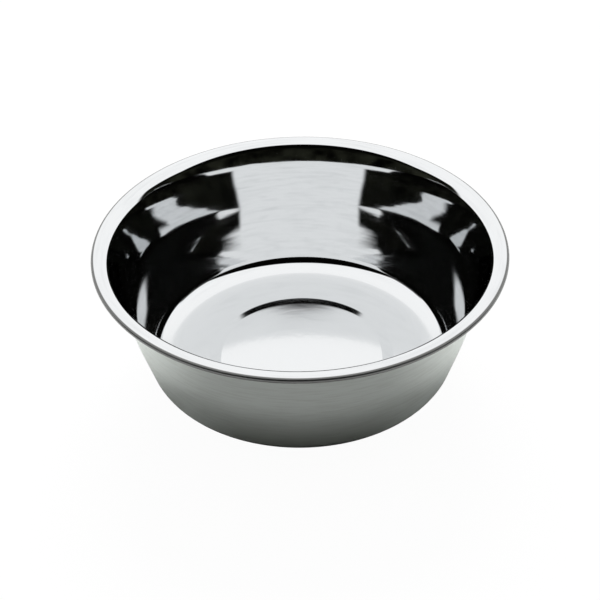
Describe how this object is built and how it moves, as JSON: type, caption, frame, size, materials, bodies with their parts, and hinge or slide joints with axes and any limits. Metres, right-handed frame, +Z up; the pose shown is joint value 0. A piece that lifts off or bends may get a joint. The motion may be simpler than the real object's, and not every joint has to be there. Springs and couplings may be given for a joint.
{
  "type": "pet bowl",
  "caption": "Round, free-standing metal pet bowl with a leaning wall, a flared mouth, a round lip with a rolled edge and a shallow raised pad in its floor.",
  "frame": {"origin": "on the bowl's axis, in the plane of the flat ring that it stands on", "axes": "+Z up along the axis, out of the mouth; X and Y are alike, because the bowl is round"},
  "size_m": [0.2096, 0.2096, 0.0711],
  "materials": {
    "stainless_steel": "mirror-polished inside and over the rim, satin outside and underneath"
  },
  "bodies": {
    "root": {"bowl": "stainless_steel"}
  },
  "joints": []
}
